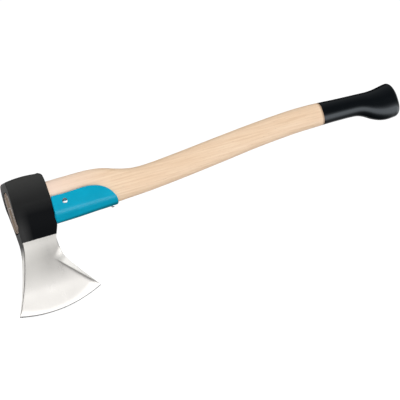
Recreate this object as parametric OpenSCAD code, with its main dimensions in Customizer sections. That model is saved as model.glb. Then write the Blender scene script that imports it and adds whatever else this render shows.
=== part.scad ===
/* [Head] */
// Width of the head along the handle, at the eye
head_w = 50; // [48:1:54]
// Thickness of the head across its two flat cheeks
cheek_t = 34; // [32:1:38]
// Height of the poll above the centre of the eye
poll_rise = 41; // [39:1:46]
// Drop of the cutting edge below the centre of the eye
edge_drop = 131; // [126:1:136]
// Radius of the curved cutting edge
edge_r = 169; // [155:1:185]
// Width of the ground bevel behind the cutting edge
bevel_w = 3; // [2:0.5:6]

/* [Eye] */
// Height of the eye, from the poll side to the blade side
eye_h = 54; // [52:1:56]
// Width of the eye, from cheek to cheek
eye_w = 22; // [21:0.5:23]
// Thickness of the wooden wedge at its outer end
wedge_t = 5.5; // [4:0.5:6.5]
// Outer diameter of the steel ring wedge
ring_d = 17; // [15:1:18]

/* [Handle] */
// Reach of the handle, from the centre of the eye to the end of the knob
handle_reach = 579; // [570:1:595]
// Squareness of the handle's oval section: 2 is an ellipse, more is squarer
section_power = 2.4; // [2.1:0.1:3]
// Length of the black coat on the knob end
coat_l = 134; // [100:1:160]
// Thickness of the black coat
coat_t = 0.8; // [0.6:0.1:1.2]

/* [Guard] */
// Thickness of the guard's sheet metal
guard_t = 1.3; // [1.2:0.1:1.6]
// Reach of the guard behind the centre of the eye
guard_reach = 113; // [108:1:118]
// Width of the tongue that runs into the eye
tongue_w = 10; // [8:1:12]
// Depth of the tongue inside the eye
tongue_l = 30; // [20:1:40]

/* [Screws] */
// Diameter of the side screws' heads
side_head_d = 7.5; // [6:0.5:8]
// Diameter of the end screw's head
end_head_d = 5.5; // [5:0.5:6]
// Diameter of the screw shanks
screw_d = 3.4; // [3:0.1:4]
// Distance of the side screws behind the centre of the eye
side_screw_x = 42; // [38:1:50]
// Distance of the end screw behind the centre of the eye
end_screw_x = 107; // [104:1:108]

/* [Hidden] */

// The origin is the centre of the eye. +X runs along the handle to the knob, +Z points
// to the poll, and the cutting edge faces -Z. The head is symmetric about the plane y = 0.

// Clearance between pieces that are driven or wrapped together
fit_gap = 0.15;
// Points on one ring of the handle, and rings along it
ring_points = 28;
ring_count = 46;
// Rings on the rounded end of the knob, its depth, and how far its tip lies below the middle
dome_rings = 6;
dome_depth = 13;
dome_drop = 6.5;

// Half thickness of the head at each height: [height, half thickness]
cheek_half = cheek_t / 2;
cheek_form = [
    [poll_rise + 1, cheek_half - 6],
    [poll_rise - 4, cheek_half - 4],
    [30, cheek_half - 1.1],
    [23, cheek_half],
    [7, cheek_half],
    [-1, cheek_half - 2.4],
    [-9, cheek_half - 4],
    [-25, cheek_half - 6.8],
    [-40, 8.4],
    [-50, 7.2],
    [-60, 6.3],
    [-72, 5.5],
    [-85, 4.7],
    [-98, 3.8],
    [-110, 2.8],
    [-edge_drop - 1, 1.1]
];

// Side outline of the head
shoulder_z = -43;
poll_crown = 2.2;
toe_lean = 1.2;
toe_bend_z = -39;
toe_bend_r = 62;
toe_bend = 13;
toe_flare_r = 350;
toe_flare = 14;
heel_bend_r = 57;
heel_bend = 37;
heel_w = 4.5;
edge_x = -6.5;

// Flank beside the heel: the upper end of its ridge, and how the ridge and the flank slope
flank_x = 18;
flank_depth = 5.3;
flank_z = -74;
flank_angle = 44;
flank_tilt = 12;
flank_slope = -3.3;

// Form of the handle behind the head: [share of the reach, top, bottom, width]
handle_form = [
    [0.0456, 27.9, -25.0, 24.4],
    [0.100, 28.5, -24.3, 25.4],
    [0.147, 28.6, -23.0, 25.4],
    [0.181, 26.4, -22.4, 25.2],
    [0.216, 20.5, -21.3, 25.0],
    [0.250, 16.5, -20.3, 24.6],
    [0.286, 16.2, -19.1, 24.4],
    [0.371, 20.2, -14.9, 23.8],
    [0.475, 26.2, -8.8, 23.2],
    [0.578, 31.7, -2.5, 22.8],
    [0.682, 35.8, 2.0, 22.4],
    [0.751, 36.4, 3.2, 22.0],
    [0.820, 34.9, 3.6, 22.0],
    [0.872, 34.1, 2.8, 22.8],
    [0.893, 33.8, 0.2, 23.8],
    [0.916, 33.5, -6.3, 25.6],
    [0.941, 34.6, -11.2, 27.2],
    [0.963, 36.9, -12.2, 28.0],
    [1 - dome_depth / handle_reach, 38.1, -11.4, 27.8]
];
neck_x = handle_form[0][0] * handle_reach;
dome_x = handle_reach - dome_depth;
coat_x = handle_reach - coat_l;

// Tenon inside the eye. Its underside leaves room for the guard's tongue.
tenon_top = eye_h / 2 - fit_gap;
tenon_bottom = -eye_h / 2 + guard_t + 3 * fit_gap;
tenon_w = eye_w - 2 * fit_gap;
tenon_x = -head_w / 2 + 0.5;
tenon_end_x = head_w / 2 + 0.6;

// Kerf and wedges
kerf_end_x = 12;
wedge_tip_t = 1;
wedge_end_x = 8;
ring_t = 1.8;
ring_tip_t = 0.7;
ring_l = 16;

// Height of the guard's side edge: [distance behind the eye, height]
guard_edge = [
    [neck_x, 7.3],
    [45, 7.2],
    [60, 7.8],
    [74, 8.2],
    [84, 6.9],
    [92, 4.4],
    [98, 1.2],
    [103, -3],
    [107, -8],
    [110.5, -14.2],
    [guard_reach, -20.8]
];
guard_columns = 18;
guard_rows = 24;

// Screws
side_head_h = 2.2;
end_head_h = 3;
screw_l = 11;
screw_slot_w = 1;
side_screw_z = -2;

// A shallow arc of points about a centre
function arc(centre, r, from, to, steps) = [
    for (i = [0 : steps])
        let (a = from + (to - from) * i / steps)
            centre + r * [cos(a), sin(a)]
];

function mix(a, b, t) = a + (b - a) * t;
function signed_power(v, p) = sign(v) * pow(abs(v), p);

// Smooth curve through the rows of a table, read in column k at x
function row_below(rows, x) =
    min(len(rows) - 2, max([0, for (i = [0 : len(rows) - 1]) if (rows[i][0] <= x) i]));
function steepness(rows, i, k) =
    let (a = max(i - 1, 0), b = min(i + 1, len(rows) - 1))
        (rows[b][k] - rows[a][k]) / (rows[b][0] - rows[a][0]);
function curve(rows, x, k) =
    let (
        i = row_below(rows, x),
        span = rows[i + 1][0] - rows[i][0],
        t = min(1, max(0, (x - rows[i][0]) / span)),
        rise = t * t * (3 - 2 * t)
    )
        mix(rows[i][k], rows[i + 1][k], rise)
        + span * steepness(rows, i, k) * t * (1 - t) * (1 - t)
        - span * steepness(rows, i + 1, k) * t * t * (1 - t);

// Section of the handle at x: [top, bottom, width, share that is left by the rounded end]
function section(x) =
    x < neck_x
    ? [tenon_top, tenon_bottom, tenon_w]
    : [for (k = [1 : 3]) curve(handle_form, min(x, dome_x) / handle_reach, k)];
function dome_share(x, depth) =
    x <= dome_x ? 1 : sqrt(max(0, 1 - pow((x - dome_x) / depth, 2)));

// A point on the handle's surface at x and at an angle round it, moved out by grow.
// Angle 0 is the +Y side and 90 is the top.
function surface_point(x, angle, grow = 0) =
    let (
        s = section(x),
        share = dome_share(x, dome_depth + grow),
        middle = (s[0] + s[1]) / 2 - dome_drop * (1 - share),
        half_h = ((s[0] - s[1]) / 2 + grow) * share,
        half_w = (s[2] / 2 + grow) * share,
        power = 2 / section_power
    )
        x < neck_x
        ? [x, half_w * cos(angle), middle + sign(sin(angle)) * (half_h - half_w) + half_w * sin(angle)]
        : [
            x,
            half_w * signed_power(cos(angle), power),
            middle + half_h * signed_power(sin(angle), power)
        ];

function handle_ring(x, grow = 0) = [
    for (j = [0 : ring_points - 1])
        surface_point(x, (j + 0.5) * 360 / ring_points, grow)
];

// Places of the rings from x0 to the end of the knob, with its rounded end
function ring_places(x0, count, grow) = concat(
    [for (i = [0 : count]) mix(x0, dome_x, i / count)],
    [for (i = [1 : dome_rings]) dome_x + (dome_depth + grow) * sin(i * 85 / dome_rings)]
);

// Triangles between ring a and ring b, each of n points
function band(a, b, n) = [
    for (j = [0 : n - 1])
        let (k = (j + 1) % n)
            each [[a + j, a + k, b + j], [a + k, b + k, b + j]]
];
function bands(rings, n, first = 0) = [
    for (i = [0 : rings - 2]) each band(first + i * n, first + (i + 1) * n, n)
];
function reversed(list) = [for (i = [len(list) - 1 : -1 : 0]) list[i]];
function flipped(faces) = [for (f = faces) reversed(f)];
function flat(lists) = [for (l = lists) each l];
function counted(first, n) = [for (j = [0 : n - 1]) first + j];

// Solid through a row of rings
module loft(rings) {
    n = len(rings[0]);
    last = (len(rings) - 1) * n;
    polyhedron(
        points = flat(rings),
        faces = concat(
            flipped(bands(len(rings), n)),
            [counted(0, n)],
            [reversed(counted(last, n))]
        )
    );
}

// Cup between two rows of rings, open at the first ring
module cup(outer, inner) {
    n = len(outer[0]);
    inner_first = len(outer) * n;
    polyhedron(
        points = concat(flat(outer), flat(inner)),
        faces = concat(
            flipped(bands(len(outer), n)),
            [reversed(counted(inner_first - n, n))],
            bands(len(inner), n, inner_first),
            [counted(inner_first + (len(inner) - 1) * n, n)],
            band(0, inner_first, n)
        )
    );
}

// Sheet between an outer and an inner row of arcs
module sheet(outer, inner) {
    n = len(outer[0]);
    loops = [for (i = [0 : len(outer) - 1]) concat(outer[i], reversed(inner[i]))];
    last = (len(loops) - 1) * 2 * n;
    cap = [
        for (j = [0 : n - 2])
            each [[j, j + 1, 2 * n - 2 - j], [j, 2 * n - 2 - j, 2 * n - 1 - j]]
    ];
    polyhedron(
        points = flat(loops),
        faces = concat(
            flipped(bands(len(loops), 2 * n)),
            cap,
            [for (f = flipped(cap)) [for (v = f) v + last]]
        )
    );
}

// Oval of the eye, with round ends, as a bar along X
module eye_bar(length) {
    rotate([90, 0, 90])
        linear_extrude(height = length, center = true)
            union() {
                square([eye_w, eye_h - eye_w], center = true);
                for (side = [-1, 1])
                    translate([0, side * (eye_h - eye_w) / 2])
                        circle(d = eye_w, $fn = 64);
            }
}

// Side outline of the head, open past the edge where the bevel trims it
module head_side() {
    half_w = head_w / 2;
    shoulder_x = half_w - heel_w;
    crown_r = (pow(half_w, 2) + pow(poll_crown, 2)) / (2 * poll_crown);
    crown_a = asin((half_w - 3) / crown_r);
    toe = arc([toe_lean - half_w - toe_bend_r, toe_bend_z], toe_bend_r, 0, -toe_bend, 6);
    toe_end = toe[len(toe) - 1];
    toe_centre = toe_end - toe_flare_r * [cos(toe_bend), -sin(toe_bend)];
    heel = arc([shoulder_x + heel_bend_r, shoulder_z], heel_bend_r, 180, 180 + heel_bend, 12);
    heel_end = heel[len(heel) - 1];
    run = 80;
    polygon(concat(
        arc([0, poll_rise - crown_r], crown_r, 90 - crown_a, 90 + crown_a, 8),
        [[-half_w, poll_rise - 5]],
        [[-half_w, 7]],
        toe,
        arc(toe_centre, toe_flare_r, -toe_bend - 1, -toe_bend - toe_flare, 8),
        [heel_end + run * [sin(heel_bend), -cos(heel_bend)]],
        reversed(heel),
        [[half_w + 1, shoulder_z + 15]],
        [[half_w - 1, poll_rise - 5]]
    ));
}

// Thickness of the head from cheek to cheek
module head_thickness() {
    polygon(concat(
        [for (row = cheek_form) [row[1], row[0]]],
        [for (row = reversed(cheek_form)) [-row[1], row[0]]]
    ));
}

// Disc whose rim is the cutting edge and its two bevels
module edge_disc() {
    edge_half = 0.1;
    bevel_half = 1.5;
    body_half = 20;
    body_r = 60;
    translate([edge_x, 0, edge_r - edge_drop])
        rotate([90, 0, 0])
            rotate_extrude($fn = 128)
                polygon([
                    [0, -body_half],
                    [body_r, -body_half],
                    [edge_r - bevel_w, -bevel_half],
                    [edge_r, -edge_half],
                    [edge_r, edge_half],
                    [edge_r - bevel_w, bevel_half],
                    [body_r, body_half],
                    [0, body_half]
                ]);
}

// Block that planes the flank beside the heel on the +Y cheek. Its end starts at the ridge's top.
module heel_flank() {
    block = 80;
    translate([flank_x, flank_depth, flank_z])
        rotate([0, flank_angle, 0])
            rotate([flank_tilt, 0, flank_slope])
                cube(block);
}

module axe_head() {
    color("dimgray")
        difference() {
            intersection() {
                rotate([90, 0, 0])
                    linear_extrude(height = 2 * cheek_t, center = true)
                        head_side();
                rotate([90, 0, 90])
                    linear_extrude(height = 4 * head_w, center = true)
                        head_thickness();
                edge_disc();
            }
            eye_bar(2 * head_w);
            heel_flank();
            mirror([0, 1, 0]) heel_flank();
        }
}

// Wedge-shaped slice across the tenon, thinner towards the knob
module wedge_slice(outer_t, tip_t, end_x, height) {
    linear_extrude(height = height, center = true)
        polygon([
            [tenon_x, -outer_t / 2],
            [end_x, -tip_t / 2],
            [end_x, tip_t / 2],
            [tenon_x, outer_t / 2]
        ]);
}

// Tapered ring about the axis of the eye, moved out by grow on all sides
module ring_taper(grow = 0) {
    translate([tenon_x, 0, 0])
        rotate([0, 90, 0])
            rotate_extrude($fn = 64)
                polygon([
                    [ring_d / 2 - ring_t - grow, -grow],
                    [ring_d / 2 + grow, -grow],
                    [ring_d / 2 - (ring_t - ring_tip_t) / 2 + grow, ring_l + grow],
                    [ring_d / 2 - (ring_t + ring_tip_t) / 2 - grow, ring_l + grow]
                ]);
}

// Round bar along the axis of each screw, for its holes
module screw_holes() {
    hole_d = screw_d + 2 * fit_gap;
    translate([end_screw_x, 0, curve(handle_form, end_screw_x / handle_reach, 2) - 4])
        cylinder(d = hole_d, h = screw_l + 4, $fn = 32);
    translate([side_screw_x, 0, side_screw_z])
        for (side = [-1, 1])
            rotate([side * 90, 0, 0])
                translate([0, 0, 3])
                    cylinder(d = hole_d, h = 20, $fn = 32);
}

module handle() {
    wood_rings = concat(
        [for (x = [tenon_x, 0, tenon_end_x]) handle_ring(x)],
        [for (i = [0 : ring_count]) handle_ring(mix(neck_x, coat_x, i / ring_count))],
        [
            for (x = ring_places(coat_x + fit_gap, 16, -coat_t - fit_gap))
                handle_ring(x, -coat_t - fit_gap)
        ]
    );
    color("burlywood")
        difference() {
            loft(wood_rings);
            wedge_slice(wedge_t + fit_gap, wedge_tip_t + fit_gap, kerf_end_x, 2 * eye_h);
            ring_taper(fit_gap);
            screw_holes();
        }
}

module eye_wedge() {
    color("peru")
        difference() {
            wedge_slice(wedge_t, wedge_tip_t, wedge_end_x, eye_h - 8);
            ring_taper(fit_gap);
        }
}

module ring_wedge() {
    color("silver") ring_taper();
}

// Angle round the section at which the handle's surface has a height
function edge_angle(x, height) =
    let (
        s = section(x),
        half_h = (s[0] - s[1]) / 2,
        t = (height - (s[0] + s[1]) / 2) / half_h
    )
        asin(max(-1, min(1, signed_power(t, section_power / 2))));

// Arc of the guard from its left edge under the handle to its right edge
function guard_arc(x, lift, grow) = [
    for (j = [0 : guard_columns])
        surface_point(x, mix(180 - lift, 360 + lift, j / guard_columns), grow)
];

module guard_sleeve() {
    tongue_lift = asin(tongue_w / tenon_w) - 90;
    tongue_x = [head_w / 2 - tongue_l, 0, tenon_end_x];
    side_x = [for (i = [0 : guard_rows]) mix(neck_x + fit_gap, guard_reach, i / guard_rows)];
    spans = concat(
        [for (x = tongue_x) [x, tongue_lift]],
        [for (x = side_x) [x, edge_angle(x, curve(guard_edge, x, 1))]]
    );
    color("deepskyblue")
        difference() {
            sheet(
                [for (s = spans) guard_arc(s[0], s[1], guard_t + fit_gap)],
                [for (s = spans) guard_arc(s[0], s[1], fit_gap)]
            );
            screw_holes();
        }
}

// Round-headed wood screw with a cross recess, its head's seat at z = 0 and its shank along -Z
module screw(head_d, head_h) {
    head_r = head_d / 2;
    dome_r = (pow(head_r, 2) + pow(head_h, 2)) / (2 * head_h);
    recess_l = head_r;
    difference() {
        union() {
            intersection() {
                cylinder(r = head_r, h = head_h, $fn = 48);
                translate([0, 0, head_h - dome_r])
                    sphere(r = dome_r, $fn = 48);
            }
            translate([0, 0, -screw_l + screw_d])
                cylinder(d = screw_d, h = screw_l - screw_d + 0.1, $fn = 32);
            translate([0, 0, -screw_l])
                cylinder(d1 = 0.6, d2 = screw_d, h = screw_d, $fn = 32);
        }
        for (turn = [0, 90])
            rotate([0, 0, turn])
                translate([-recess_l / 2, -screw_slot_w / 2, head_h / 2])
                    cube([recess_l, screw_slot_w, 2]);
    }
}

// Side screw on the +Y side for side = 1, or on the -Y side for side = -1
module side_screw(side) {
    seat = section(side_screw_x)[2] / 2 + fit_gap + guard_t;
    color("gainsboro")
        translate([side_screw_x, side * seat, side_screw_z])
            rotate([-side * 90, 0, 0])
                screw(side_head_d, side_head_h);
}

module side_screw_left() {
    side_screw(-1);
}

module side_screw_right() {
    side_screw(1);
}

module end_screw() {
    seat = curve(handle_form, end_screw_x / handle_reach, 2) - fit_gap - guard_t;
    color("gainsboro")
        translate([end_screw_x, 0, seat])
            rotate([180, 0, 0])
                screw(end_head_d, end_head_h);
}

module knob_coat() {
    color([0.06, 0.06, 0.07])
        cup(
            [for (x = ring_places(coat_x, 16, 0)) handle_ring(x)],
            [for (x = ring_places(coat_x, 16, -coat_t)) handle_ring(x, -coat_t)]
        );
}

axe_head();
handle();
eye_wedge();
ring_wedge();
guard_sleeve();
side_screw_left();
side_screw_right();
end_screw();
knob_coat();
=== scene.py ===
import math

import bmesh
import bpy
from mathutils import Matrix, Vector, noise
from mathutils.bvhtree import BVHTree


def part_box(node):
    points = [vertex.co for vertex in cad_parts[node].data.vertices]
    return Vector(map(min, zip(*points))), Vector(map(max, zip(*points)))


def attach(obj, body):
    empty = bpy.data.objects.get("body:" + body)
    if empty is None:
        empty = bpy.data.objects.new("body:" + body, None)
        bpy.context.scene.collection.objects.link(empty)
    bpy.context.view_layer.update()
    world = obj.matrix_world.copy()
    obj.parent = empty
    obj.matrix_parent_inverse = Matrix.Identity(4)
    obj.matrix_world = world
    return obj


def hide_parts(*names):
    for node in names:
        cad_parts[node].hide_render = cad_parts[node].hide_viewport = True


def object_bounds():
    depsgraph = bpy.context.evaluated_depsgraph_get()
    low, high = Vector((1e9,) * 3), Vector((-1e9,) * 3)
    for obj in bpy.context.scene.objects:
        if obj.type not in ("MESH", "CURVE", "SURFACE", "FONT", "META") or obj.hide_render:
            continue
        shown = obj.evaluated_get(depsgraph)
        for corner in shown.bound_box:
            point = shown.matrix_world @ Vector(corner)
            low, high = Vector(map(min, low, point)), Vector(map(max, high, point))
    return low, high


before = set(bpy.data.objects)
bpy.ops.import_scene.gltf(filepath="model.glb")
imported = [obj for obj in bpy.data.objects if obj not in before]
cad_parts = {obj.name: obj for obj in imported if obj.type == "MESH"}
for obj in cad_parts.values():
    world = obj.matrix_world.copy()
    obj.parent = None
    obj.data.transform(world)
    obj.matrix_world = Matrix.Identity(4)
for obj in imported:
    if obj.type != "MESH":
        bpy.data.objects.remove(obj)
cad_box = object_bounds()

# Lengths are written in millimetres and turned into metres when a mesh is made.
# +X runs along the handle to the knob, +Z points to the poll, the cutting edge faces -Z.
MM = 0.001


def lerp(a, b, t):
    return a + (b - a) * t


def smooth_step(t):
    t = min(1.0, max(0.0, t))
    return t * t * (3 - 2 * t)


def soft_min(a, b, width):
    """The smaller of a and b, rounded over where they meet."""
    h = max(0.0, width - abs(a - b)) / width
    return min(a, b) - h * h * width / 4


def curve_through(rows, x):
    """Smooth curve through a table of (x, value) rows, in either order of x."""
    rows = sorted(rows)
    i = max([0] + [k for k in range(len(rows) - 1) if rows[k][0] <= x])
    span = rows[i + 1][0] - rows[i][0]
    t = min(1.0, max(0.0, (x - rows[i][0]) / span))

    def steepness(k):
        a, b = max(k - 1, 0), min(k + 1, len(rows) - 1)
        return (rows[b][1] - rows[a][1]) / (rows[b][0] - rows[a][0])

    middle = lerp(rows[i][1], rows[i + 1][1], smooth_step(t))
    return middle + span * t * (1 - t) * (steepness(i) * (1 - t) - steepness(i + 1) * t)


def averaged(value, x, reach, steps=4):
    """value(x) averaged over a short reach either side, which rounds its kinks."""
    places = [x + reach * k / steps for k in range(-steps, steps + 1)]
    return sum(value(place) for place in places) / len(places)


# ---------------------------------------------------------------- meshes

def make_piece(name, verts, faces, sharp=30):
    """New object from millimetre points, smooth but for edges sharper than the given degrees."""
    mesh = bpy.data.meshes.new(name)
    mesh.from_pydata([Vector(v) * MM for v in verts], [], faces)
    build = bmesh.new()
    build.from_mesh(mesh)
    bmesh.ops.remove_doubles(build, verts=build.verts, dist=0.00001)
    bmesh.ops.recalc_face_normals(build, faces=build.faces)
    build.to_mesh(mesh)
    build.free()
    piece = bpy.data.objects.new(name, mesh)
    bpy.context.scene.collection.objects.link(piece)
    shade(piece, sharp)
    return piece


def shade(piece, sharp):
    mesh = piece.data
    mesh.polygons.foreach_set("use_smooth", [True] * len(mesh.polygons))
    mesh.set_sharp_from_angle(angle=math.radians(sharp))


def loft(rings):
    """Points and faces of the closed skin over a row of rings."""
    n = len(rings[0])
    last = (len(rings) - 1) * n
    verts = [point for ring in rings for point in ring]
    faces = [
        (i + j, i + (j + 1) % n, i + n + (j + 1) % n, i + n + j)
        for i in range(0, last, n)
        for j in range(n)
    ]
    return verts, faces + [tuple(range(n)), tuple(range(last, last + n))]


def cut(piece, tool_verts, tool_faces, sharp=30):
    """Takes the tool's shape out of the piece."""
    tool = make_piece("tool", tool_verts, tool_faces)
    modifier = piece.modifiers.new("cut", "BOOLEAN")
    modifier.operation = "DIFFERENCE"
    modifier.solver = "EXACT"
    modifier.object = tool
    evaluated = piece.evaluated_get(bpy.context.evaluated_depsgraph_get())
    mesh = bpy.data.meshes.new_from_object(evaluated)
    piece.modifiers.clear()
    old_mesh = piece.data
    piece.data = mesh
    bpy.data.meshes.remove(old_mesh)
    bpy.data.objects.remove(tool)
    mesh.name = piece.name
    shade(piece, sharp)


def oval(x, half_w, top, bottom, count):
    """Ring of an upright oval with round ends."""
    middle = (top + bottom) / 2
    straight = (top - bottom) / 2 - half_w
    ring = []
    for j in range(count):
        angle = math.radians((j + 0.5) * 360 / count)
        side = 1 if math.sin(angle) > 0 else -1
        ring.append((x, half_w * math.cos(angle), middle + side * straight + half_w * math.sin(angle)))
    return ring


def turned(profile, count):
    """Rings of a turned shape about Z from a profile of (radius, height)."""
    return [
        [
            (r * math.cos(math.tau * j / count), r * math.sin(math.tau * j / count), z)
            for j in range(count)
        ]
        for r, z in profile
    ]


# ---------------------------------------------------------------- head

HALF_W = 25
EYE_HALF_W = 11
EYE_HALF_H = 27
# (height, half thickness) of the cheeks, from the poll down to the cutting edge.
CHEEK_FORM = [
    (42, 10.8), (37, 12.8), (30, 15.9), (23, 17), (7, 17), (-1, 14.6), (-9, 13),
    (-25, 10.2), (-40, 8.4), (-50, 7.2), (-60, 6.3), (-72, 5.5), (-85, 4.7), (-98, 3.8),
    (-110, 2.8), (-132, 1.1),
]
POLL_CORNER_Z = 36
POLL_ROUND = 3.2
POLL_CROWN = 1.7
POLL_BURR = 0.8
POLL_BURR_X = 19
# The cutting edge is an arc, with a bevel inside it and a finer keen edge inside that.
EDGE_CENTRE = Vector((-6.5, 38))
EDGE_R = 169
BEVEL_W = 3
BEVEL_HALF = 1.5
KEEN_W = 1.0
KEEN_HALF = 0.8
DISC_SLOPE = 0.173
# The flank is ground off on the knob's side of a ridge that runs down to the heel.
FLANK_START = Vector((18, -74))
FLANK_ANGLE = 44
FLANK_DEPTH = 5.3
FLANK_FALL = 0.057
FLANK_TILT = 0.21
CHEEK_STEPS = 56
SIDE_STEPS = 14
CORNER_STEPS = 8
CORNER_R = 1.3
END_SAG = 9.2


def toe_x(z):
    """Side outline of the head on the outer side, away from the knob."""
    lean, lean_z, bend_z, bend_r, flare_r = 1.2, 7, -39, 62, 350
    bend = math.radians(13)
    start = lean - HALF_W
    if z > bend_z:
        return lerp(-HALF_W, start, max(0.0, (lean_z - z) / (lean_z - bend_z)))
    if z > bend_z - bend_r * math.sin(bend):
        return start - bend_r + math.sqrt(bend_r ** 2 - (z - bend_z) ** 2)
    centre_x = start - bend_r * (1 - math.cos(bend)) - flare_r * math.cos(bend)
    centre_z = bend_z + (flare_r - bend_r) * math.sin(bend)
    return centre_x + math.sqrt(flare_r ** 2 - (z - centre_z) ** 2)


def heel_x(z):
    """Side outline of the head on the knob's side."""
    shoulder, shoulder_h, neck_z, bend_r = 20.5, 15, -43, 57
    bend = math.radians(37)
    shoulder_z = neck_z + shoulder_h
    bend_end_z = neck_z - bend_r * math.sin(bend)
    if z > shoulder_z:
        return lerp(HALF_W - 1, HALF_W + 1, (POLL_CORNER_Z - z) / (POLL_CORNER_Z - shoulder_z))
    if z > neck_z:
        return lerp(shoulder, HALF_W + 1, (z - neck_z) / shoulder_h)
    if z > bend_end_z:
        return shoulder + bend_r - math.sqrt(bend_r ** 2 - (z - neck_z) ** 2)
    return shoulder + bend_r * (1 - math.cos(bend)) + (bend_end_z - z) * math.tan(bend)


def edge_distance(x, z):
    return EDGE_R - (Vector((x, z)) - EDGE_CENTRE).length


def height_at_edge_distance(side_x, distance):
    """Height at which a side outline is that far inside the cutting edge."""
    low, high = -140, -60
    for _ in range(40):
        z = (low + high) / 2
        if edge_distance(side_x(z), z) < distance:
            low = z
        else:
            high = z
    return z


def head_half(x, z):
    """Half thickness of the head at a point of its side view."""
    half = averaged(lambda place: curve_through(CHEEK_FORM, place), z, 2)
    distance = edge_distance(x, z)
    half = soft_min(half, BEVEL_HALF + DISC_SLOPE * (distance - BEVEL_W), 0.5)
    ridge_angle = math.radians(FLANK_ANGLE)
    ridge = Vector((math.cos(ridge_angle), -math.sin(ridge_angle)))
    offset = Vector((x, z)) - FLANK_START
    along = offset.dot(ridge)
    outward = offset.dot(Vector((-ridge.y, ridge.x)))
    flank = FLANK_DEPTH - FLANK_FALL * along - FLANK_TILT * outward
    half = lerp(half, soft_min(half, flank, 0.5), smooth_step((along + 12) / 14))
    if distance < BEVEL_W:
        half = min(half, lerp(KEEN_HALF, BEVEL_HALF, (distance - KEEN_W) / (BEVEL_W - KEEN_W)))
    if distance < KEEN_W:
        half = min(half, lerp(0.04, KEEN_HALF, max(0.0, distance) / KEEN_W))
    return half


def head_ring(toe_z, heel_z, sag, inset=0.0, radius=CORNER_R):
    """Rounded rectangular ring round the head, across a row of its side view."""
    toe = Vector((averaged(toe_x, toe_z, 1.5) + inset, toe_z))
    heel = Vector((averaged(heel_x, heel_z, 1.5) - inset, heel_z))
    span = (heel - toe).length
    edge_half = min(head_half(*toe), head_half(*heel)) - 0.6 * inset
    r = max(0.01, min(radius, 0.45 * edge_half))
    corner = [math.pi / 2 * k / CORNER_STEPS for k in range(CORNER_STEPS)]
    half_loop = [(lerp(r, span - r, i / CHEEK_STEPS), 1, 1) for i in range(CHEEK_STEPS)]
    half_loop += [(span - r + r * math.sin(a), 1, math.cos(a)) for a in corner]
    half_loop += [(span, 1 - 2 * i / SIDE_STEPS, 0) for i in range(SIDE_STEPS)]
    half_loop += [(span - r + r * math.cos(a), -1, -math.sin(a)) for a in corner]
    back_loop = [(span - along, -f, -c) for along, f, c in half_loop]
    ring = []
    for along, flat_part, round_part in half_loop + back_loop:
        u = along / span
        point = toe.lerp(heel, u) - Vector((0, 4 * sag * u * (1 - u)))
        if toe_z > POLL_CORNER_Z:
            point.y += POLL_BURR * math.exp(-((point.x - POLL_BURR_X) / 2) ** 2)
        half = max(0.0, head_half(*point) - 0.6 * inset)
        ring.append((point.x, flat_part * max(0.0, half - r) + round_part * min(r, half), point.y))
    return ring


def build_head():
    rings = []
    # The crowned poll, from its middle outwards, and then its rounded rim.
    for inset in (20.2, 17, 13, 9, 6, 4.5):
        z = POLL_CORNER_Z + POLL_ROUND
        rings.append(head_ring(z, z, -POLL_CROWN, inset, 3))
    rim_steps = 8
    for step in range(rim_steps):
        angle = math.radians(90 - 90 * step / rim_steps)
        z = POLL_CORNER_Z + POLL_ROUND * math.sin(angle)
        inset = POLL_ROUND * (1 - math.cos(angle))
        rings.append(head_ring(z, z, -POLL_CROWN * math.sin(angle), inset, 2))
    # The cheeks, in rows that sag more and more towards the curved cutting edge.
    toe_end = height_at_edge_distance(toe_x, BEVEL_W)
    heel_end = height_at_edge_distance(heel_x, BEVEL_W)
    row_count = 110
    for row in range(row_count + 1):
        v = row / row_count
        toe_z = lerp(POLL_CORNER_Z, toe_end, v)
        heel_z = lerp(POLL_CORNER_Z, heel_end, v)
        rings.append(head_ring(toe_z, heel_z, END_SAG * smooth_step((v - 0.4) / 0.6)))
    for distance in (2, 1.3, KEEN_W, 0.3, 0):
        toe_z = height_at_edge_distance(toe_x, distance)
        heel_z = height_at_edge_distance(heel_x, distance)
        rings.append(head_ring(toe_z, heel_z, END_SAG, 0, 0.4))
    piece = make_piece("head", *loft(rings), sharp=13)
    # The eye flares a little towards both of its rims.
    flare_from, flare_to, flare_steps = 23.4, 27, 10
    flare = [lerp(flare_from, flare_to, k / flare_steps) for k in range(flare_steps + 1)]
    places = [-x for x in reversed(flare)] + flare
    grows = [0.3 * (abs(x) - flare_from) ** 2 for x in places]
    eye = [
        oval(x, EYE_HALF_W + grow, EYE_HALF_H + grow, -EYE_HALF_H - grow, 96)
        for x, grow in zip(places, grows)
    ]
    cut(piece, *loft(eye), sharp=13)
    return piece


# ---------------------------------------------------------------- handle, coat and guard

RING_POINTS = 88
SECTION_POWER = 2.4
NECK_X = 26.4
DOME_DEPTH = 13
DOME_DROP = 6.6
DOME_POWER = 2.2
KNOB_SAG = 1.4
COAT_T = 0.8
GAP = 0.15
TENON_X = -24.5
TENON_END_X = 25.4
# The tenon is clear of the eye, and at its bottom of the guard's tongue.
TENON_HALF_W = 10.85
TENON_TOP = 26.85
TENON_BOTTOM = -25.25


def surface_tree(*names):
    """Ray target over some CAD nodes."""
    verts, faces = [], []
    for name in names:
        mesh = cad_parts[name].data
        first = len(verts)
        verts += [v.co / MM for v in mesh.vertices]
        faces += [[first + k for k in face.vertices] for face in mesh.polygons]
    return BVHTree.FromPolygons(verts, faces)


handle_surface = surface_tree("handle", "knob_coat")
KNOB_END_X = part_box("knob_coat")[1].x / MM
COAT_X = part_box("knob_coat")[0].x / MM
DOME_X = KNOB_END_X - DOME_DEPTH


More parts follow.
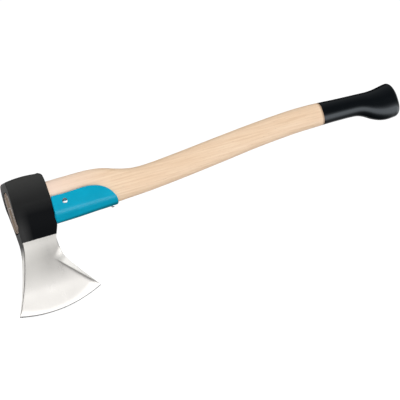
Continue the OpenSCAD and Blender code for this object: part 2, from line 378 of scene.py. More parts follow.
def measured(x):
    """Top, bottom and half width of the CAD handle at x."""
    top = handle_surface.ray_cast(Vector((x, 0.1, 100)), Vector((0, 0, -1)))[0].z
    bottom = handle_surface.ray_cast(Vector((x, 3, -100)), Vector((0, 0, 1)))[0].z
    side = handle_surface.ray_cast(Vector((x, 100, (top + bottom) / 2)), Vector((0, -1, 0)))[0].y
    return top, bottom, side


STATION = 3
stations = [
    measured(min(DOME_X - 0.1, max(NECK_X + 0.1, NECK_X + STATION * k)))
    for k in range(int((DOME_X - NECK_X) / STATION) + 3)
]


def handle_section(x):
    """Smoothed top, bottom and half width of the handle at x."""
    place = min(len(stations) - 1.0, max(0.0, (x - NECK_X) / STATION))
    total, weights = [0.0, 0.0, 0.0], 0.0
    for k in range(max(0, int(place) - 2), min(len(stations), int(place) + 4)):
        weight = max(0.0, 1 - abs(place - k) / 2.5) ** 2
        total = [t + weight * value for t, value in zip(total, stations[k])]
        weights += weight
    top, bottom, half_w = [t / weights for t in total]
    # The knob's belly hangs a little lower than in the CAD, as it does in the photo.
    sag_from, sag_over = DOME_X - 65, 30
    sag = KNOB_SAG * smooth_step((x - sag_from) / sag_over)
    return top, bottom - sag, half_w


def handle_ring(x, grow=0.0, ripple=0.0):
    """Ring of the handle's surface at x, moved out by grow and rippled along x."""
    top, bottom, half_w = handle_section(x)
    depth = DOME_DEPTH + grow
    share = 1.0
    if x > DOME_X:
        share = max(0.0, 1 - ((x - DOME_X) / depth) ** DOME_POWER) ** (1 / DOME_POWER)
    middle = (top + bottom) / 2 - DOME_DROP * (1 - share)
    half_h = ((top - bottom) / 2 + grow) * share
    half_w = (half_w + grow) * share
    ring = []
    for j in range(RING_POINTS):
        angle = math.radians((j + 0.5) * 360 / RING_POINTS)
        c, s = math.cos(angle), math.sin(angle)
        power = 2 / SECTION_POWER
        y = math.copysign(abs(c) ** power, c) * half_w
        z = math.copysign(abs(s) ** power, s) * half_h + middle
        wander = ripple * noise.noise(Vector((c * 1.7, s * 1.7, 3.1)))
        ring.append((x + wander, y, z))
    return ring


def dome_places(grow):
    """Places of the rings on the knob's domed end."""
    steps = 16
    angles = [math.radians(89.5 * k / steps) for k in range(1, steps + 1)]
    return [DOME_X + (DOME_DEPTH + grow) * math.sin(angle) for angle in angles]


def kerf_block():
    """Slice sawn out of the tenon for the wooden wedge, thinner towards the knob."""
    mouth_t, tip_t, tip_x, half_h = 5.8, 1.3, 12, 40
    rings = []
    for x, thick in ((TENON_X - 1, mouth_t), (tip_x, tip_t)):
        t = thick / 2
        rings.append([(x, -t, -half_h), (x, t, -half_h), (x, t, half_h), (x, -t, half_h)])
    return loft(rings)


RING_R = 8.5
RING_T = 1.8


def ring_profile(grow):
    """Rings about the eye's axis of the tapered steel ring, moved out by grow."""
    length, tip_t, count = 16, 0.7, 64
    middle_r = RING_R - RING_T / 2
    corners = [
        (middle_r - RING_T / 2 - grow, -grow), (middle_r + RING_T / 2 + grow, -grow),
        (middle_r + tip_t / 2 + grow, length + grow), (middle_r - tip_t / 2 - grow, length + grow),
    ]
    rounded = []
    for k, (r, x) in enumerate(corners):
        before, after = corners[k - 1], corners[(k + 1) % 4]
        for other in (before, after):
            reach = 0.3 / math.hypot(other[0] - r, other[1] - x)
            rounded.append((lerp(r, other[0], reach), lerp(x, other[1], reach)))
    return [
        [
            (TENON_X + x, r * math.cos(math.tau * j / count), r * math.sin(math.tau * j / count))
            for j in range(count)
        ]
        for r, x in rounded
    ]


def hoop(rings):
    """Points and faces of a ring-shaped skin: the last ring joins the first."""
    verts, faces = loft(rings + [rings[0]])
    return verts, faces[:-2]


def build_handle():
    tenon = [(TENON_X, -0.5), (TENON_X + 0.12, -0.18), (TENON_X + 0.4, 0)]
    tenon += [(x, 0) for x in (-12, 0, 12, TENON_END_X)]
    rings = [
        oval(x, TENON_HALF_W + grow, TENON_TOP + grow, TENON_BOTTOM - grow, RING_POINTS)
        for x, grow in tenon
    ]
    step = 1.5
    count = int((COAT_X - NECK_X) / step)
    rings += [handle_ring(NECK_X + (COAT_X - NECK_X) * k / count) for k in range(count + 1)]
    # Under the coat the wood is thinner by the coat and a little air.
    inner = -COAT_T - 0.1
    hidden_x = COAT_X + 1.5
    hidden = [hidden_x + (DOME_X - hidden_x) * k / 30 for k in range(31)] + dome_places(inner)
    rings += [handle_ring(x, inner) for x in hidden]
    piece = make_piece("wooden_handle", *loft(rings), sharp=35)
    cut(piece, *kerf_block(), sharp=35)
    cut(piece, *hoop(ring_profile(GAP)), sharp=35)
    return piece


def build_coat():
    """Dipped cup over the knob, from deep inside to its slightly wavy lip and out over the dome.

    Known fault: the inside stops flat where the dome starts, so the wood's dome runs into it.
    """
    inner = [(x, -COAT_T) for x in reversed([lerp(COAT_X + 1, DOME_X, k / 20) for k in range(21)])]
    lip = [(COAT_X + 0.3, -COAT_T), (COAT_X, -COAT_T + 0.1)]
    lip += [(COAT_X + 0.1, -0.45), (COAT_X + 0.5, -0.15)]
    count = 84
    outer = [(lerp(COAT_X + 1.2, DOME_X, k / count), 0) for k in range(count + 1)]
    outer += [(x, 0) for x in dome_places(0)]
    rings = []
    for x, grow in inner + lip + outer:
        ripple = 2.2 * max(0.0, 1 - abs(x - COAT_X) / 12)
        rings.append(handle_ring(x, grow, ripple))
    return make_piece("knob_coat_dipped", *loft(rings), sharp=60)


# (x, z) of the guard's upper rim, which curves down at its rear.
GUARD_EDGE = [
    (26.4, 7.3), (45, 7.2), (60, 7.8), (74, 8.2), (84, 6.9), (92, 4.4), (98, 1.2),
    (103, -3), (107, -8), (110.5, -14.2), (113, -20.8),
]
GUARD_T = 1.3
BEND_Z = -13
TONGUE_HALF_W = 5
TONGUE = [(-5, -26.7), (10, -26.7), (20, -26.7), (25.2, -26.65)]


def rounded_path(corners, radii, steps=7):
    """Path through the corners, each rounded by its radius."""
    path = [corners[0]]
    for before, corner, after, radius in zip(corners, corners[1:], corners[2:], radii):
        start = corner + (before - corner).normalized() * radius
        end = corner + (after - corner).normalized() * radius
        for k in range(steps + 1):
            t = k / steps
            path.append(start.lerp(corner, t).lerp(corner.lerp(end, t), t))
    return path + [corners[-1]]


def guard_section(x):
    """Half of the section that the guard's sheet is thickened from, as (y, z).

    It runs from under the handle up its +Y side, close to where the CAD guard has its outer face.
    """
    _, bottom, half_w = handle_section(x)
    lift = GAP + GUARD_T
    low = bottom - lift
    corners = [
        Vector((0, low)),
        Vector((0.34 * half_w, low)),
        Vector((half_w + lift - 0.5, BEND_Z - 2)),
        Vector((half_w + lift, BEND_Z + 12)),
        Vector((half_w + lift, 12)),
    ]
    return rounded_path(corners, (2.6, 4.2, 5))


def path_up_to(path, height, count):
    """Points spread evenly on a rising path, up to a height."""
    kept = [path[0]]
    for a, b in zip(path, path[1:]):
        if b.y >= height:
            t = (height - a.y) / (b.y - a.y)
            kept.append(a.lerp(b, t))
            break
        kept.append(b)
    lengths = [0.0]
    for a, b in zip(kept, kept[1:]):
        lengths.append(lengths[-1] + (b - a).length)
    points = []
    for k in range(count + 1):
        goal = lengths[-1] * k / count
        i = max(0, min(len(kept) - 2, sum(1 for length in lengths if length <= goal) - 1))
        span = max(1e-9, lengths[i + 1] - lengths[i])
        points.append(kept[i].lerp(kept[i + 1], (goal - lengths[i]) / span))
    return points


def build_guard():
    half_count = 44
    rows = []
    spread = range(-half_count, half_count + 1)
    for x, z in TONGUE:
        rows.append([(x, TONGUE_HALF_W * k / half_count, z) for k in spread])
    start, end = NECK_X + GAP, GUARD_EDGE[-1][0]
    column_count = 90
    for column in range(column_count + 1):
        share = column / column_count
        x = lerp(start, end, 1 - (1 - share) ** 1.5)
        half = path_up_to(guard_section(x), curve_through(GUARD_EDGE, x), half_count)
        rows.append([(x, -p.x, p.y) for p in half[:0:-1]] + [(x, p.x, p.y) for p in half])
    width = 2 * half_count + 1
    verts = [point for row in rows for point in row]
    faces = [
        (i + j, i + j + 1, i + width + j + 1, i + width + j)
        for i in range(0, (len(rows) - 1) * width, width)
        for j in range(width - 1)
    ]
    piece = make_piece("guard_sheet", verts, faces, sharp=60)
    # Known fault: this face lies at the rim, where the normal is nearly level, so the test picks the
    # wrong side. The sheet is thickened outwards and stands 0.8 to 1.8 mm past the CAD guard.
    outward = piece.data.polygons[len(piece.data.polygons) // 2].normal.z < 0
    thicken = piece.modifiers.new("thickness", "SOLIDIFY")
    thicken.thickness = GUARD_T * MM
    thicken.offset = -1 if outward else 1
    thicken.use_even_offset = True
    soften = piece.modifiers.new("rounded_rim", "BEVEL")
    soften.width = 0.45 * MM
    soften.segments = 3
    soften.limit_method = "ANGLE"
    soften.angle_limit = math.radians(60)
    return piece


# ---------------------------------------------------------------- wedges and screws

def build_eye_wedge():
    """Wooden wedge whose sawn ends are a little uneven."""
    count = 24
    rings = []
    for x, half_t, half_h in ((TENON_X - 0.15, 2.5, 22.7), (TENON_X + 0.15, 2.72, 23), (8, 0.5, 23)):
        ring = []
        for side, seed in ((-1, 0), (1, 9)):
            for k in range(count + 1):
                uneven = 0.12 * noise.noise(Vector((k * 0.7, x, seed)))
                ring.append((x + uneven, side * half_t, lerp(side * half_h, -side * half_h, k / count)))
        rings.append(ring)
    piece = make_piece("wooden_wedge", *loft(rings), sharp=30)
    cut(piece, *hoop(ring_profile(GAP)))
    return piece


def build_ring_wedge():
    return make_piece("steel_ring", *hoop(ring_profile(0)), sharp=50)


SIDE_HEAD_D = 7.5
SIDE_HEAD_H = 2.2
END_HEAD_D = 5.5
END_HEAD_H = 3


def build_screw(name, head_d, head_h, place):
    """Round-headed wood screw with a cross recess, its seat at z = 0 before it is placed."""
    head_r, shank_r, length = head_d / 2, 1.7, 11
    steps = 14
    profile = [(0.05, -length), (0.5, -length + 0.6), (shank_r, -length + 3.4), (shank_r, -0.05)]
    profile += [(head_r - 0.25, 0), (head_r - 0.05, 0.15)]
    for k in range(steps + 1):
        angle = math.radians(12 + 77.5 * k / steps)
        profile.append((head_r * math.cos(angle), 0.3 + (head_h - 0.3) * math.sin(angle)))
    rings = turned(profile, 72)
    piece = make_piece(name, *loft(rings), sharp=40)
    reach, slot = head_r * 0.52, head_r * 0.13
    for turn in (0, 1):
        foot, mouth = [], []
        for sx, sy in ((-1, -1), (1, -1), (1, 1), (-1, 1)):
            a = (sx * reach, sy * slot)
            b = (sx * reach * 0.62, sy * slot * 0.8)
            a, b = ((a[1], a[0]), (b[1], b[0])) if turn else (a, b)
            mouth.append((a[0], a[1], head_h + 0.1))
            foot.append((b[0], b[1], head_h * 0.35))
        cut(piece, *loft([foot, mouth]), sharp=40)
    piece.data.transform(place)
    return piece


def side_screw_place(side):
    low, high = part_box("side_screw_right")
    centre = (low + high) / 2
    seat = high.y - SIDE_HEAD_H * MM
    face_out = Matrix.Rotation(math.radians(-side * 90), 4, "X")
    turn_slot = Matrix.Rotation(math.radians(side * 20), 4, "Z")
    return Matrix.Translation((centre.x, side * seat, centre.z)) @ face_out @ turn_slot


def end_screw_place():
    low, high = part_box("end_screw")
    centre = (low + high) / 2
    face_down = Matrix.Rotation(math.radians(180), 4, "X")
    return Matrix.Translation((centre.x, 0, low.z + END_HEAD_H * MM)) @ face_down


# ---------------------------------------------------------------- materials

class Nodes:
    """Short calls for the nodes of one node tree."""

    def __init__(self, tree):
        self.tree = tree

    def node(self, kind, inputs=None, **settings):
        node = self.tree.nodes.new(kind)
        for key, value in settings.items():
            setattr(node, key, value)
        for key, value in (inputs or {}).items():
            self.put(node.inputs[key], value)
        return node

    def put(self, socket, value):
        """Links or sets an input. A colour may be given as one number."""
        if isinstance(value, bpy.types.NodeSocket):
            self.tree.links.new(value, socket)
        elif socket.type == "RGBA" and isinstance(value, (int, float)):
            socket.default_value = (value, value, value, 1)
        else:
            socket.default_value = value

    def ramp(self, value, stops):
        """Colour by value, through stops of (place, colour)."""
        node = self.node("ShaderNodeValToRGB", {"Fac": value})
        band = node.color_ramp.elements
        while len(band) < len(stops):
            band.new(0.5)
        for element, (place, colour) in zip(band, stops):
            element.position = place
            element.color = colour if isinstance(colour, tuple) else (colour, colour, colour, 1)
        return node.outputs[0]

    def mix(self, a, b, share):
        """Colour a, giving way to b by a share from 0 to 1."""
        node = self.node("ShaderNodeMix", data_type="RGBA")
        self.put(node.inputs[0], share)
        self.put(node.inputs[6], a)
        self.put(node.inputs[7], b)
        return node.outputs[2]

    def calc(self, operation, a, b=0.0, c=0.0):
        node = self.node("ShaderNodeMath", {0: a, 1: b, 2: c}, operation=operation)
        return node.outputs[0]

    def vector(self, operation, a, b=(0, 0, 0)):
        node = self.node("ShaderNodeVectorMath", {0: a, 1: b}, operation=operation)
        return node.outputs["Value" if operation in ("LENGTH", "DOT_PRODUCT") else "Vector"]

    def weighted(self, values, weights):
        """Sum of two values times their weights."""
        return self.calc("ADD", *[self.calc("MULTIPLY", v, w) for v, w in zip(values, weights)])

    def remap(self, value, from_low, from_high, to_low, to_high):
        """The value moved from one range to another, and held inside it."""
        inputs = {"Value": value, "From Min": from_low, "From Max": from_high}
        inputs.update({"To Min": to_low, "To Max": to_high})
        return self.node("ShaderNodeMapRange", inputs).outputs[0]

    def split(self, vector):
        return self.node("ShaderNodeSeparateXYZ", {"Vector": vector}).outputs


class Shader(Nodes):
    """A node material in object coordinates."""

    def __init__(self, name):
        self.material = bpy.data.materials.new(name)
        self.material.use_nodes = True
        super().__init__(self.material.node_tree)
        self.bsdf = self.tree.nodes["Principled BSDF"]
        self.place = self.tree.nodes.new("ShaderNodeTexCoord").outputs["Object"]

    def set(self, **values):
        for key, value in values.items():
            self.put(self.bsdf.inputs[key.replace("_", " ")], value)

    def noise(self, scale, detail=4, roughness=0.55, turn=(0, 0, 0)):
        """Noise with its own scale on each axis, after a turn in degrees."""
        angles = [math.radians(a) for a in turn]
        inputs = {"Vector": self.place, "Rotation": angles, "Scale": scale}
        stretched = self.node("ShaderNodeMapping", inputs).outputs[0]
        inputs = {"Vector": stretched, "Scale": 1.0, "Detail": detail, "Roughness": roughness}
        return self.node("ShaderNodeTexNoise", inputs).outputs[0]

    def from_point(self, point):
        """x and z in metres, measured from a point of the side view in millimetres."""
        x, _, z = self.split(self.place)
        return [self.calc("SUBTRACT", axis, at * MM) for axis, at in zip((x, z), point)]

    def bump(self, height, depth, strength):
        inputs = {"Height": height, "Distance": depth, "Strength": strength}
        return self.node("ShaderNodeBump", inputs).outputs[0]


def rgb(r, g, b):
    """Linear colour from 0 to 255 screen values."""
    def linear(value):
        value /= 255
        return value / 12.92 if value <= 0.04045 else ((value + 0.055) / 1.055) ** 2.4
    return (linear(r), linear(g), linear(b), 1)


def head_material():
    s = Shader("lacquered_and_ground_steel")
    x, _, z = s.split(s.place)
    wander = s.calc("MULTIPLY_ADD", s.noise((400, 400, 60), 3), 0.0007, -0.00035)
    boundary = s.calc("ADD", z, wander)
    lacquer = s.remap(boundary, -0.03875, -0.03845, 0, 1)
    # The toe's narrow side was dipped deeper than the cheeks, and fades out. Its outline bends
    # away below the lacquer's boundary, roughly as a parabola.
    bent = s.calc("MINIMUM", s.calc("ADD", z, 0.039), 0)
    bent_away = s.calc("MULTIPLY", s.calc("MULTIPLY", bent, bent), 4)
    from_side = s.calc("ADD", s.calc("ADD", bent_away, 0.0238), x)
    on_side = s.remap(from_side, 0.0001, 0.0008, 1, 0)
    side_dip = s.calc("MULTIPLY", on_side, s.remap(z, -0.06, -0.043, 0, 1))
    lacquer = s.calc("MAXIMUM", lacquer, side_dip)
    # The blade is ground lengthwise, so its scratches run from the eye to the edge.
    scratches = s.noise((5200, 300, 60), 3, 0.7, turn=(0, 6, 0))
    cross_scratches = s.noise((3600, 300, 45), 2, 0.7, turn=(0, -14, 0))
    haze = s.noise((38, 60, 24), 5, 0.6)
    steel_tone = s.ramp(haze, [(0.3, rgb(177, 175, 171)), (0.7, rgb(193, 190, 186))])
    # Painted reflection: the blade is a little brighter towards the toe.
    near_toe = s.remap(x, -0.022, 0.006, 0.8, 0)
    toe_reflection_share = s.calc("MULTIPLY", near_toe, s.remap(z, -0.042, -0.06, 0.35, 1))
    steel_tone = s.mix(steel_tone, rgb(213, 211, 206), toe_reflection_share)
    # Painted reflection: the lower blade is brighter.
    steel_tone = s.mix(steel_tone, rgb(224, 221, 217), s.remap(z, -0.062, -0.1, 0, 0.9))
    steel_tone = s.mix(steel_tone, rgb(186, 186, 188), s.remap(scratches, 0.55, 0.75, 0, 0.35))
    # Painted shade: the keen edge is a fine grey line below the bright bevel.
    from_centre = s.from_point(EDGE_CENTRE)
    edge_r = s.calc("SQRT", s.weighted(from_centre, from_centre))
    keen = s.remap(edge_r, (EDGE_R - 2.3) * MM, (EDGE_R - 1.7) * MM, 0, 0.9)
    steel_tone = s.mix(steel_tone, rgb(158, 158, 159), keen)
    orange_peel = s.noise((900, 900, 900), 3)
    dust = s.noise((60, 60, 90), 6, 0.65)
    lacquer_tone = s.ramp(dust, [(0.35, rgb(3, 5, 8)), (0.75, rgb(8, 10, 13))])
    # Painted sheen: the lacquer is lighter towards the poll.
    lacquer_tone = s.mix(lacquer_tone, rgb(68, 68, 67), s.remap(z, -0.008, 0.036, 0, 0.75))
    # The ground flank beside the heel gets a painted highlight, brightest at its upper end, and is made
    # nearly non-metallic so that it scatters more light.
    sine, cosine = math.sin(math.radians(FLANK_ANGLE)), math.cos(math.radians(FLANK_ANGLE))
    from_start = s.from_point(FLANK_START)
    outward = s.weighted(from_start, (sine, cosine))
    along = s.weighted(from_start, (cosine, -sine))
    past_ridge = s.remap(outward, -0.0004, 0.001, 0, 1)
    flank = s.calc("MULTIPLY", past_ridge, s.remap(along, -0.012, 0.004, 0, 1))
    flank_highlight_tone = s.mix(rgb(250, 248, 243), rgb(226, 224, 219), s.remap(along, 0.012, 0.05, 0, 1))
    steel_tone = s.mix(steel_tone, flank_highlight_tone, flank)
    # Low on the cheeks, a soft sheen lies along the toe.
    toe_sheen = s.remap(x, -0.019, -0.008, 0.6, 0)
    toe_sheen = s.calc("MULTIPLY", toe_sheen, s.remap(z, 0.005, -0.025, 0, 1))
    lacquer_tone = s.mix(lacquer_tone, rgb(70, 70, 70), toe_sheen)
    s.set(Base_Color=s.mix(steel_tone, lacquer_tone, lacquer))
    bare = s.calc("SUBTRACT", 1, lacquer)
    s.set(Metallic=s.calc("MULTIPLY", bare, s.remap(flank, 0, 1, 1, 0.05)))
    steel_rough = s.remap(s.calc("ADD", haze, scratches), 0.7, 1.3, 0.26, 0.42)
    lacquer_rough = s.remap(dust, 0.3, 0.7, 0.3, 0.42)
    s.set(Roughness=s.mix(steel_rough, lacquer_rough, lacquer))
    s.set(Specular_IOR_Level=0.05)
    ground = s.calc("ADD", scratches, s.calc("MULTIPLY", cross_scratches, 0.6))
    film = s.calc("MULTIPLY_ADD", orange_peel, 0.25, 0.75)
    height = s.mix(s.calc("MULTIPLY", ground, 0.1), film, lacquer)
    s.set(Normal=s.bump(height, 0.00006, 0.8))
    return s.material


def wood_material():
    s = Shader("lacquered_ash")
    x, y, z = s.split(s.place)
    # Growth rings lie about a line below the handle, bent a little by slow noise.
    wander = s.calc("MULTIPLY", s.noise((3.5, 14, 14), 3), 0.02)
    depth = s.calc("SUBTRACT", s.calc("ADD", z, wander), -0.16)
    width = s.calc("ADD", y, s.calc("MULTIPLY", s.noise((2.5, 9, 9), 2), 0.012))
    radius = s.calc("SQRT", s.weighted((depth, width), (depth, width)))
    rings = s.calc("FRACT", s.calc("MULTIPLY", radius, 260))
    late_wood = s.ramp(rings, [(0.0, 0.85), (0.28, 0.25), (0.75, 0.0), (0.97, 0.55), (1.0, 0.85)])
    streaks = s.noise((16, 420, 420), 5, 0.62)
    fibres = s.noise((55, 2100, 2100), 3, 0.7)
    pores = s.noise((150, 1700, 1700), 2, 0.6)
    ash = [(0.3, rgb(235, 202, 168)), (0.5, rgb(245, 215, 184)), (0.7, rgb(251, 225, 196))]
    tone = s.ramp(streaks, ash)
    tone = s.mix(tone, rgb(220, 187, 151), s.calc("MULTIPLY", late_wood, 0.22))
    tone = s.mix(tone, rgb(205, 168, 128), s.remap(fibres, 0.58, 0.78, 0, 0.45))
    pore_depth = s.remap(late_wood, 0.1, 0.6, 0.1, 0.4)
    pore_share = s.calc("MULTIPLY", s.remap(pores, 0.64, 0.72, 0, 1), pore_depth)
    tone = s.mix(tone, rgb(150, 112, 76), pore_share)
    # Painted light: the wood is a little paler and pinker in the neck.
    tone = s.mix(tone, rgb(255, 229, 212), s.remap(x, 0.03, 0.11, 0.75, 0))
    # The tenon's outer face is darker, oily end grain.
    end_face = s.remap(x, -0.0242, -0.0239, 1, 0)
    end_speckle = s.noise((900, 900, 900), 4, 0.7)
    oily_ash = [(0.3, rgb(116, 102, 94)), (0.5, rgb(159, 143, 132)), (0.7, rgb(186, 169, 158))]
    end_tone = s.ramp(end_speckle, oily_ash)
    end_tone = s.mix(end_tone, rgb(92, 78, 64), s.calc("MULTIPLY", late_wood, 0.55))
    # A thin dark fringe where the black coat's solvent soaked in.
    uneven_x = s.calc("ADD", x, s.calc("MULTIPLY", streaks, 0.002))
    coat_x = COAT_X * MM
    soak = s.remap(uneven_x, coat_x - 0.0025, coat_x + 0.0012, 0, 0.8)
    tone = s.mix(tone, rgb(96, 66, 42), soak)
    s.set(Base_Color=s.mix(tone, end_tone, end_face))
    rough = s.remap(s.calc("ADD", streaks, pores), 0.7, 1.3, 0.36, 0.5)
    s.set(Roughness=s.mix(rough, 0.75, end_face))
    s.set(Specular_IOR_Level=0.3, Coat_Weight=0.1, Coat_Roughness=0.25)
    height = s.calc("SUBTRACT", s.calc("MULTIPLY", fibres, 0.5), pore_share)
    s.set(Normal=s.bump(height, 0.00008, 0.5))
    return s.material


def wedge_wood_material():
    s = Shader("sawn_hardwood")
    grain = s.noise((60, 700, 240), 5, 0.65)
    specks = s.noise((1500, 1500, 1500), 3, 0.7)
    hardwood = [(0.3, rgb(104, 84, 64)), (0.55, rgb(138, 116, 92)), (0.75, rgb(160, 138, 112))]
    tone = s.ramp(grain, hardwood)
    tone = s.mix(tone, rgb(70, 54, 40), s.remap(specks, 0.6, 0.75, 0, 0.6))
    s.set(Base_Color=tone, Roughness=s.remap(grain, 0.3, 0.7, 0.65, 0.85))
    s.set(Normal=s.bump(s.calc("ADD", grain, specks), 0.00015, 0.7))
    return s.material


def bare_steel_material():
    s = Shader("turned_steel")
    spots = s.noise((500, 500, 500), 5, 0.65)
    lines = s.noise((2400, 300, 300), 3, 0.6)
    tone = s.ramp(spots, [(0.35, rgb(120, 117, 112)), (0.65, rgb(172, 170, 167))])
    s.set(Base_Color=tone, Metallic=1.0)
    s.set(Roughness=s.remap(s.calc("ADD", spots, lines), 0.7, 1.3, 0.3, 0.5))
    s.set(Normal=s.bump(lines, 0.00005, 0.6))
    return s.material


def guard_material():
    s = Shader("blue_paint")
    cloud = s.noise((40, 60, 60), 5, 0.6)
    peel = s.noise((420, 420, 420), 2, 0.5)
    dust = s.noise((2600, 2600, 2600), 2, 0.5)
    tone = s.ramp(cloud, [(0.3, rgb(0, 159, 192)), (0.7, rgb(0, 170, 204))])
    tone = s.mix(tone, rgb(70, 178, 205), s.remap(dust, 0.72, 0.8, 0, 0.25))
    # Painted shade: the paint is darker along the fold under the handle.
    x, _, z = s.split(s.place)
    above_fold = s.calc("SUBTRACT", z, s.remap(x, 0.0264, 0.113, -0.0267, -0.0222))
    tone = s.mix(tone, rgb(0, 112, 128), s.remap(above_fold, 0, 0.0022, 0.85, 0))
    s.set(Base_Color=tone, Roughness=s.remap(cloud, 0.3, 0.7, 0.2, 0.28))
    s.set(Specular_IOR_Level=0.2, Coat_Weight=0.15, Coat_Roughness=0.12)
    s.set(Normal=s.bump(peel, 0.00005, 0.5))
    return s.material


def zinc_material():
    s = Shader("zinc_plate")
    spangle = s.noise((900, 900, 900), 4, 0.6)
    tone = s.ramp(spangle, [(0.3, rgb(196, 199, 204)), (0.7, rgb(226, 228, 231))])
    s.set(Base_Color=tone, Metallic=1.0)
    s.set(Roughness=s.remap(spangle, 0.3, 0.7, 0.18, 0.32))
    s.set(Normal=s.bump(spangle, 0.00003, 0.5))
    return s.material


def coat_material():
    s = Shader("dipped_black")
    waves = s.noise((28, 60, 60), 4, 0.5)
    specks = s.noise((1300, 1300, 1300), 2, 0.5)
    s.set(Base_Color=s.ramp(waves, [(0.3, rgb(1, 4, 7)), (0.7, rgb(3, 7, 11))]))
    s.set(Roughness=s.remap(s.calc("ADD", waves, specks), 0.7, 1.3, 0.1, 0.18))
    s.set(Specular_IOR_Level=0.5, Specular_Tint=rgb(236, 246, 255))
    s.set(Normal=s.bump(s.calc("MULTIPLY_ADD", specks, 0.08, waves), 0.0001, 0.35))
    return s.material


def floor_material():
    s = Shader("pale_floor")
    grain = s.noise((30, 30, 30), 4)
    s.set(Base_Color=s.ramp(grain, [(0.3, 0.78), (0.7, 0.8)]), Roughness=0.9)
    distance = s.vector("LENGTH", s.place)
    s.set(Emission_Color=(1, 1, 1, 1), Emission_Strength=s.remap(distance, 0.3, 2.5, 0.72, 1.05))
    return s.material


# ---------------------------------------------------------------- the pieces

def finish_piece(piece, material, node):
    piece.data.materials.clear()
    piece.data.materials.append(material)
    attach(piece, "root")
    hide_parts(node)


finish_piece(build_head(), head_material(), "axe_head")
finish_piece(build_handle(), wood_material(), "handle")
finish_piece(build_eye_wedge(), wedge_wood_material(), "eye_wedge")
finish_piece(build_ring_wedge(), bare_steel_material(), "ring_wedge")
finish_piece(build_guard(), guard_material(), "guard_sleeve")
finish_piece(build_coat(), coat_material(), "knob_coat")
# The visual guard and wood have no holes for the screws, whose shanks are out of sight.
zinc = zinc_material()
for side, side_name in ((-1, "left"), (1, "right")):
    side_screw = build_screw("screw_" + side_name, SIDE_HEAD_D, SIDE_HEAD_H, side_screw_place(side))
    finish_piece(side_screw, zinc, "side_screw_" + side_name)
end_screw = build_screw("screw_end", END_HEAD_D, END_HEAD_H, end_screw_place())
finish_piece(end_screw, zinc, "end_screw")


# ---------------------------------------------------------------- camera, floor and light

def add_camera():
    """The photo's own viewpoint, worked out from the converging edges of the head."""
    turn, roll = math.radians(25.3), math.radians(16.4)
    distance = 1.45
    forward = Vector((math.sin(turn), math.cos(turn), 0))
    right = Vector((math.cos(turn), -math.sin(turn), 0))
    up = Vector((0, 0, 1))
    image_right = math.cos(roll) * right - math.sin(roll) * up
    image_up = math.sin(roll) * right + math.cos(roll) * up
    target = Vector((0.2278, 0, -0.049))
    camera = bpy.data.objects.new("camera", bpy.data.cameras.new("camera"))
    camera.data.lens = 98.08
    camera.data.sensor_width = 36
    basis = Matrix((image_right, image_up, -forward)).transposed()
    camera.matrix_world = Matrix.Translation(target - distance * forward) @ basis.to_4x4()
    bpy.context.scene.collection.objects.link(camera)
    bpy.context.scene.camera = camera


def add_floor():
    size = 30
    mesh = bpy.data.meshes.new("floor")
    z = cad_box[0][2] - 0.0003
    corners = [(-size, -size, z), (size, -size, z), (size, size, z), (-size, size, z)]
    mesh.from_pydata(corners, [], [(0, 1, 2, 3)])
    mesh.materials.append(floor_material())
    floor = bpy.data.objects.new("floor", mesh)
    bpy.context.scene.collection.objects.link(floor)
    # The studio below the object is part of the world's light, so the floor only shows itself.
    floor.visible_glossy = False
    floor.visible_diffuse = False
    floor.visible_shadow = False


# (elevation in degrees, light relative to the brightest)
TENT_LIGHT = [
    (-90, 0.04), (-70, 0.05), (-58, 0.1), (-48, 0.3), (-38, 0.8), (-29, 1), (-16, 1),
    (-11, 0.45), (-6, 0.16), (-1, 0.05), (15, 0.05), (40, 0.1), (90, 0.16),
]
TENT_STRENGTH = 2.5
BACKDROP_STRENGTH = 1.05
# (direction, closeness from which the paper is fully lit, width of its soft rim, light)
PAPERS = [
    ((-0.75, 0.62, 0.22), 0.9, 0.3, 0.55),
    ((0.85, 0.45, -0.28), 0.96, 0.16, 0.4),
]


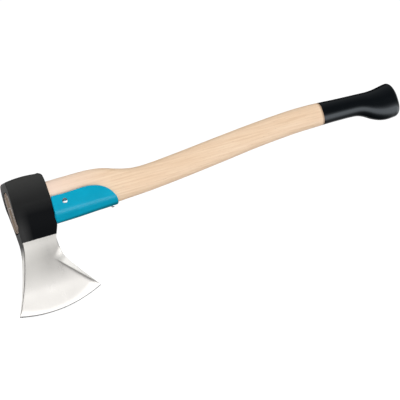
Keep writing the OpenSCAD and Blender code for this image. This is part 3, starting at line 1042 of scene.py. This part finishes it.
def add_world():
    """White behind the object, and a soft light tent round it that is brightest low in front."""
    world = bpy.data.worlds.new("studio")
    bpy.context.scene.world = world
    world.use_nodes = True
    world.node_tree.nodes.clear()
    n = Nodes(world.node_tree)
    direction = n.node("ShaderNodeTexCoord").outputs["Generated"]
    to_knob, to_back, to_sky = n.split(direction)
    stops = [((math.sin(math.radians(elevation)) + 1) / 2, light) for elevation, light in TENT_LIGHT]
    light = n.ramp(n.remap(to_sky, -1, 1, 0, 1), stops)
    # The tent is dimmer beyond the head, and open behind the object but for two sheets of paper.
    for axis, dark_at, full_at, dark in ((to_knob, -0.6, -0.2, 0.32), (to_back, 0.35, -0.15, 0.12)):
        light = n.vector("MULTIPLY", light, n.remap(axis, dark_at, full_at, dark, 1))
    for towards, full_from, rim, paper_light in PAPERS:
        closeness = n.vector("DOT_PRODUCT", direction, towards)
        paper = n.remap(closeness, full_from - rim, full_from, 0, paper_light)
        light = n.vector("MAXIMUM", light, paper)
    tent = n.node("ShaderNodeBackground", {"Color": light, "Strength": TENT_STRENGTH}).outputs[0]
    white = {"Color": (1, 1, 1, 1), "Strength": BACKDROP_STRENGTH}
    backdrop = n.node("ShaderNodeBackground", white).outputs[0]
    seen_by_camera = n.node("ShaderNodeLightPath").outputs["Is Camera Ray"]
    chosen = n.node("ShaderNodeMixShader", {0: seen_by_camera, 1: tent, 2: backdrop}).outputs[0]
    n.node("ShaderNodeOutputWorld", {"Surface": chosen})


def add_lamp(name, place, size, power):
    """Square soft light that points at the middle of the object and isn't seen in reflections."""
    lamp = bpy.data.objects.new(name, bpy.data.lights.new(name, "AREA"))
    lamp.data.size = size
    lamp.data.energy = power
    towards = Vector((0.25, 0, 0)) - Vector(place)
    aim = towards.to_track_quat("-Z", "Y").to_matrix().to_4x4()
    lamp.matrix_world = Matrix.Translation(place) @ aim
    lamp.visible_glossy = False
    bpy.context.scene.collection.objects.link(lamp)


add_camera()
add_floor()
add_world()
add_lamp("key", (0.1, -1.2, 1.3), 1.4, 17.5)
add_lamp("overhead", (0.25, 0.3, 1.8), 1.6, 3.5)
bpy.context.scene.view_settings.view_transform = "Standard"
